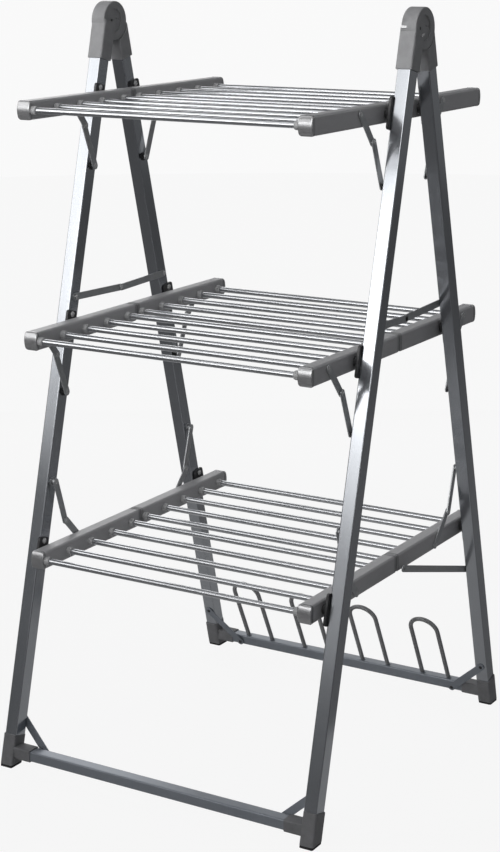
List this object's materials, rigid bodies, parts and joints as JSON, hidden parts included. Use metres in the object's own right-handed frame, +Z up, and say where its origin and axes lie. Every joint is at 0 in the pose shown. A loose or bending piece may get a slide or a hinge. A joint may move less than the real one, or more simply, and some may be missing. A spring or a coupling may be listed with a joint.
{
  "type": "heated clothes airer",
  "caption": "Free-standing A-frame clothes airer: tiers of folding heated-tube wings with two-link stays, moulded hinge caps and feet, crossbars and wire shoe hangers.",
  "frame": {"origin": "on the floor, under the middle of the airer", "axes": "+X to the airer's right along the tubes, +Y to the back, +Z up"},
  "size_m": [0.686, 0.7784, 1.4196],
  "materials": {
    "leg_aluminium": "satin anodised",
    "rail_grey": "satin grey coating",
    "tube_aluminium": "polished",
    "grey_plastic": "fine moulded texture",
    "stay_steel": "zinc plated"
  },
  "bodies": {
    "root": {"front_left_leg": "leg_aluminium", "front_left_foot": "grey_plastic", "front_left_hinge_cap": "grey_plastic", "front_right_leg": "leg_aluminium", "front_right_foot": "grey_plastic", "front_right_hinge_cap": "grey_plastic", "back_left_leg": "leg_aluminium", "back_left_foot": "grey_plastic", "back_left_hinge_cap": "grey_plastic", "back_right_leg": "leg_aluminium", "back_right_foot": "grey_plastic", "back_right_hinge_cap": "grey_plastic", "front_crossbar": "leg_aluminium", "back_crossbar": "leg_aluminium"},
    "top_front_wing": {"top_front_left_rail": "rail_grey", "top_front_right_rail": "rail_grey", "top_front_heating_tubes": "tube_aluminium"},
    "top_front_rail_links": {"top_front_left_stay_rail_link": "stay_steel", "top_front_right_stay_rail_link": "stay_steel"},
    "top_front_leg_links": {"top_front_left_stay_leg_link": "stay_steel", "top_front_right_stay_leg_link": "stay_steel"},
    "top_back_wing": {"top_back_left_rail": "rail_grey", "top_back_right_rail": "rail_grey", "top_back_heating_tubes": "tube_aluminium"},
    "top_back_rail_links": {"top_back_left_stay_rail_link": "stay_steel", "top_back_right_stay_rail_link": "stay_steel"},
    "top_back_leg_links": {"top_back_left_stay_leg_link": "stay_steel", "top_back_right_stay_leg_link": "stay_steel"},
    "middle_front_wing": {"middle_front_left_rail": "rail_grey", "middle_front_right_rail": "rail_grey", "middle_front_heating_tubes": "tube_aluminium"},
    "middle_front_rail_links": {"middle_front_left_stay_rail_link": "stay_steel", "middle_front_right_stay_rail_link": "stay_steel"},
    "middle_front_leg_links": {"middle_front_left_stay_leg_link": "stay_steel", "middle_front_right_stay_leg_link": "stay_steel"},
    "middle_back_wing": {"middle_back_left_rail": "rail_grey", "middle_back_right_rail": "rail_grey", "middle_back_heating_tubes": "tube_aluminium"},
    "middle_back_rail_links": {"middle_back_left_stay_rail_link": "stay_steel", "middle_back_right_stay_rail_link": "stay_steel"},
    "middle_back_leg_links": {"middle_back_left_stay_leg_link": "stay_steel", "middle_back_right_stay_leg_link": "stay_steel"},
    "bottom_front_wing": {"bottom_front_left_rail": "rail_grey", "bottom_front_right_rail": "rail_grey", "bottom_front_heating_tubes": "tube_aluminium"},
    "bottom_front_rail_links": {"bottom_front_left_stay_rail_link": "stay_steel", "bottom_front_right_stay_rail_link": "stay_steel"},
    "bottom_front_leg_links": {"bottom_front_left_stay_leg_link": "stay_steel", "bottom_front_right_stay_leg_link": "stay_steel"},
    "bottom_back_wing": {"bottom_back_left_rail": "rail_grey", "bottom_back_right_rail": "rail_grey", "bottom_back_heating_tubes": "tube_aluminium"},
    "bottom_back_rail_links": {"bottom_back_left_stay_rail_link": "stay_steel", "bottom_back_right_stay_rail_link": "stay_steel"},
    "bottom_back_leg_links": {"bottom_back_left_stay_leg_link": "stay_steel", "bottom_back_right_stay_leg_link": "stay_steel"},
    "spreader_front_links": {"left_spreader_front_link": "stay_steel", "right_spreader_front_link": "stay_steel"},
    "spreader_back_links": {"left_spreader_back_link": "stay_steel", "right_spreader_back_link": "stay_steel"}
  },
  "joints": [
    {"name": "top_front_wing_fold", "type": "hinge", "parent": "root", "child": "top_front_wing", "pos_m": [0, -0.06328, 1.24], "axis": [1, 0, 0], "range_deg": [0, 75.65]},
    {"name": "top_front_stay_rail_pivot", "type": "hinge", "parent": "top_front_wing", "child": "top_front_rail_links", "pos_m": [0, -0.15978, 1.246], "axis": [1, 0, 0], "range_deg": [0, 38.42]},
    {"name": "top_front_stay_knee", "type": "hinge", "parent": "top_front_rail_links", "child": "top_front_leg_links", "pos_m": [0, -0.11791, 1.19499], "axis": [1, 0, 0], "range_deg": [-156.68, 0]},
    {"name": "top_back_wing_fold", "type": "hinge", "parent": "root", "child": "top_back_wing", "pos_m": [0, 0.06328, 1.24], "axis": [-1, 0, 0], "range_deg": [0, 75.65]},
    {"name": "top_back_stay_rail_pivot", "type": "hinge", "parent": "top_back_wing", "child": "top_back_rail_links", "pos_m": [0, 0.15978, 1.246], "axis": [-1, 0, 0], "range_deg": [0, 38.42]},
    {"name": "top_back_stay_knee", "type": "hinge", "parent": "top_back_rail_links", "child": "top_back_leg_links", "pos_m": [0, 0.11791, 1.19499], "axis": [-1, 0, 0], "range_deg": [-156.68, 0]},
    {"name": "middle_front_wing_fold", "type": "hinge", "parent": "root", "child": "middle_front_wing", "pos_m": [0, -0.17047, 0.821], "axis": [1, 0, 0], "range_deg": [0, 75.65]},
    {"name": "middle_front_stay_rail_pivot", "type": "hinge", "parent": "middle_front_wing", "child": "middle_front_rail_links", "pos_m": [0, -0.26697, 0.827], "axis": [1, 0, 0], "range_deg": [0, 38.42]},
    {"name": "middle_front_stay_knee", "type": "hinge", "parent": "middle_front_rail_links", "child": "middle_front_leg_links", "pos_m": [0, -0.2251, 0.77599], "axis": [1, 0, 0], "range_deg": [-156.68, 0]},
    {"name": "middle_back_wing_fold", "type": "hinge", "parent": "root", "child": "middle_back_wing", "pos_m": [0, 0.17047, 0.821], "axis": [-1, 0, 0], "range_deg": [0, 75.65]},
    {"name": "middle_back_stay_rail_pivot", "type": "hinge", "parent": "middle_back_wing", "child": "middle_back_rail_links", "pos_m": [0, 0.26697, 0.827], "axis": [-1, 0, 0], "range_deg": [0, 38.42]},
    {"name": "middle_back_stay_knee", "type": "hinge", "parent": "middle_back_rail_links", "child": "middle_back_leg_links", "pos_m": [0, 0.2251, 0.77599], "axis": [-1, 0, 0], "range_deg": [-156.68, 0]},
    {"name": "bottom_front_wing_fold", "type": "hinge", "parent": "root", "child": "bottom_front_wing", "pos_m": [0, -0.27792, 0.401], "axis": [1, 0, 0], "range_deg": [0, 75.65]},
    {"name": "bottom_front_stay_rail_pivot", "type": "hinge", "parent": "bottom_front_wing", "child": "bottom_front_rail_links", "pos_m": [0, -0.15992, 0.393], "axis": [1, 0, 0], "range_deg": [0, 43.93]},
    {"name": "bottom_front_stay_knee", "type": "hinge", "parent": "bottom_front_rail_links", "child": "bottom_front_leg_links", "pos_m": [0, -0.21061, 0.44692], "axis": [1, 0, 0], "range_deg": [-162.05, 0]},
    {"name": "bottom_back_wing_fold", "type": "hinge", "parent": "root", "child": "bottom_back_wing", "pos_m": [0, 0.27792, 0.401], "axis": [-1, 0, 0], "range_deg": [0, 75.65]},
    {"name": "bottom_back_stay_rail_pivot", "type": "hinge", "parent": "bottom_back_wing", "child": "bottom_back_rail_links", "pos_m": [0, 0.15992, 0.393], "axis": [-1, 0, 0], "range_deg": [0, 43.93]},
    {"name": "bottom_back_stay_knee", "type": "hinge", "parent": "bottom_back_rail_links", "child": "bottom_back_leg_links", "pos_m": [0, 0.21061, 0.44692], "axis": [-1, 0, 0], "range_deg": [-162.05, 0]},
    {"name": "spreader_lift", "type": "hinge", "parent": "root", "child": "spreader_front_links", "pos_m": [0, -0.1487, 0.8729], "axis": [1, 0, 0], "range_deg": [0, 3.85]},
    {"name": "spreader_knuckle", "type": "hinge", "parent": "spreader_front_links", "child": "spreader_back_links", "pos_m": [0, 0, 0.8679], "axis": [1, 0, 0], "range_deg": [-7.7, 0]}
  ],
  "couplings": [
    {"joint": "top_front_stay_rail_pivot", "follows": "top_front_wing_fold", "ratio": 0.50768},
    {"joint": "top_front_stay_knee", "follows": "top_front_wing_fold", "ratio": -2.0709},
    {"joint": "top_back_stay_rail_pivot", "follows": "top_back_wing_fold", "ratio": 0.50768},
    {"joint": "top_back_stay_knee", "follows": "top_back_wing_fold", "ratio": -2.0709},
    {"joint": "middle_front_stay_rail_pivot", "follows": "middle_front_wing_fold", "ratio": 0.50768},
    {"joint": "middle_front_stay_knee", "follows": "middle_front_wing_fold", "ratio": -2.0709},
    {"joint": "middle_back_stay_rail_pivot", "follows": "middle_back_wing_fold", "ratio": 0.50768},
    {"joint": "middle_back_stay_knee", "follows": "middle_back_wing_fold", "ratio": -2.0709},
    {"joint": "bottom_front_stay_rail_pivot", "follows": "bottom_front_wing_fold", "ratio": 0.58054},
    {"joint": "bottom_front_stay_knee", "follows": "bottom_front_wing_fold", "ratio": -2.1419},
    {"joint": "bottom_back_stay_rail_pivot", "follows": "bottom_back_wing_fold", "ratio": 0.58054},
    {"joint": "bottom_back_stay_knee", "follows": "bottom_back_wing_fold", "ratio": -2.1419},
    {"joint": "spreader_knuckle", "follows": "spreader_lift", "ratio": -2}
  ]
}
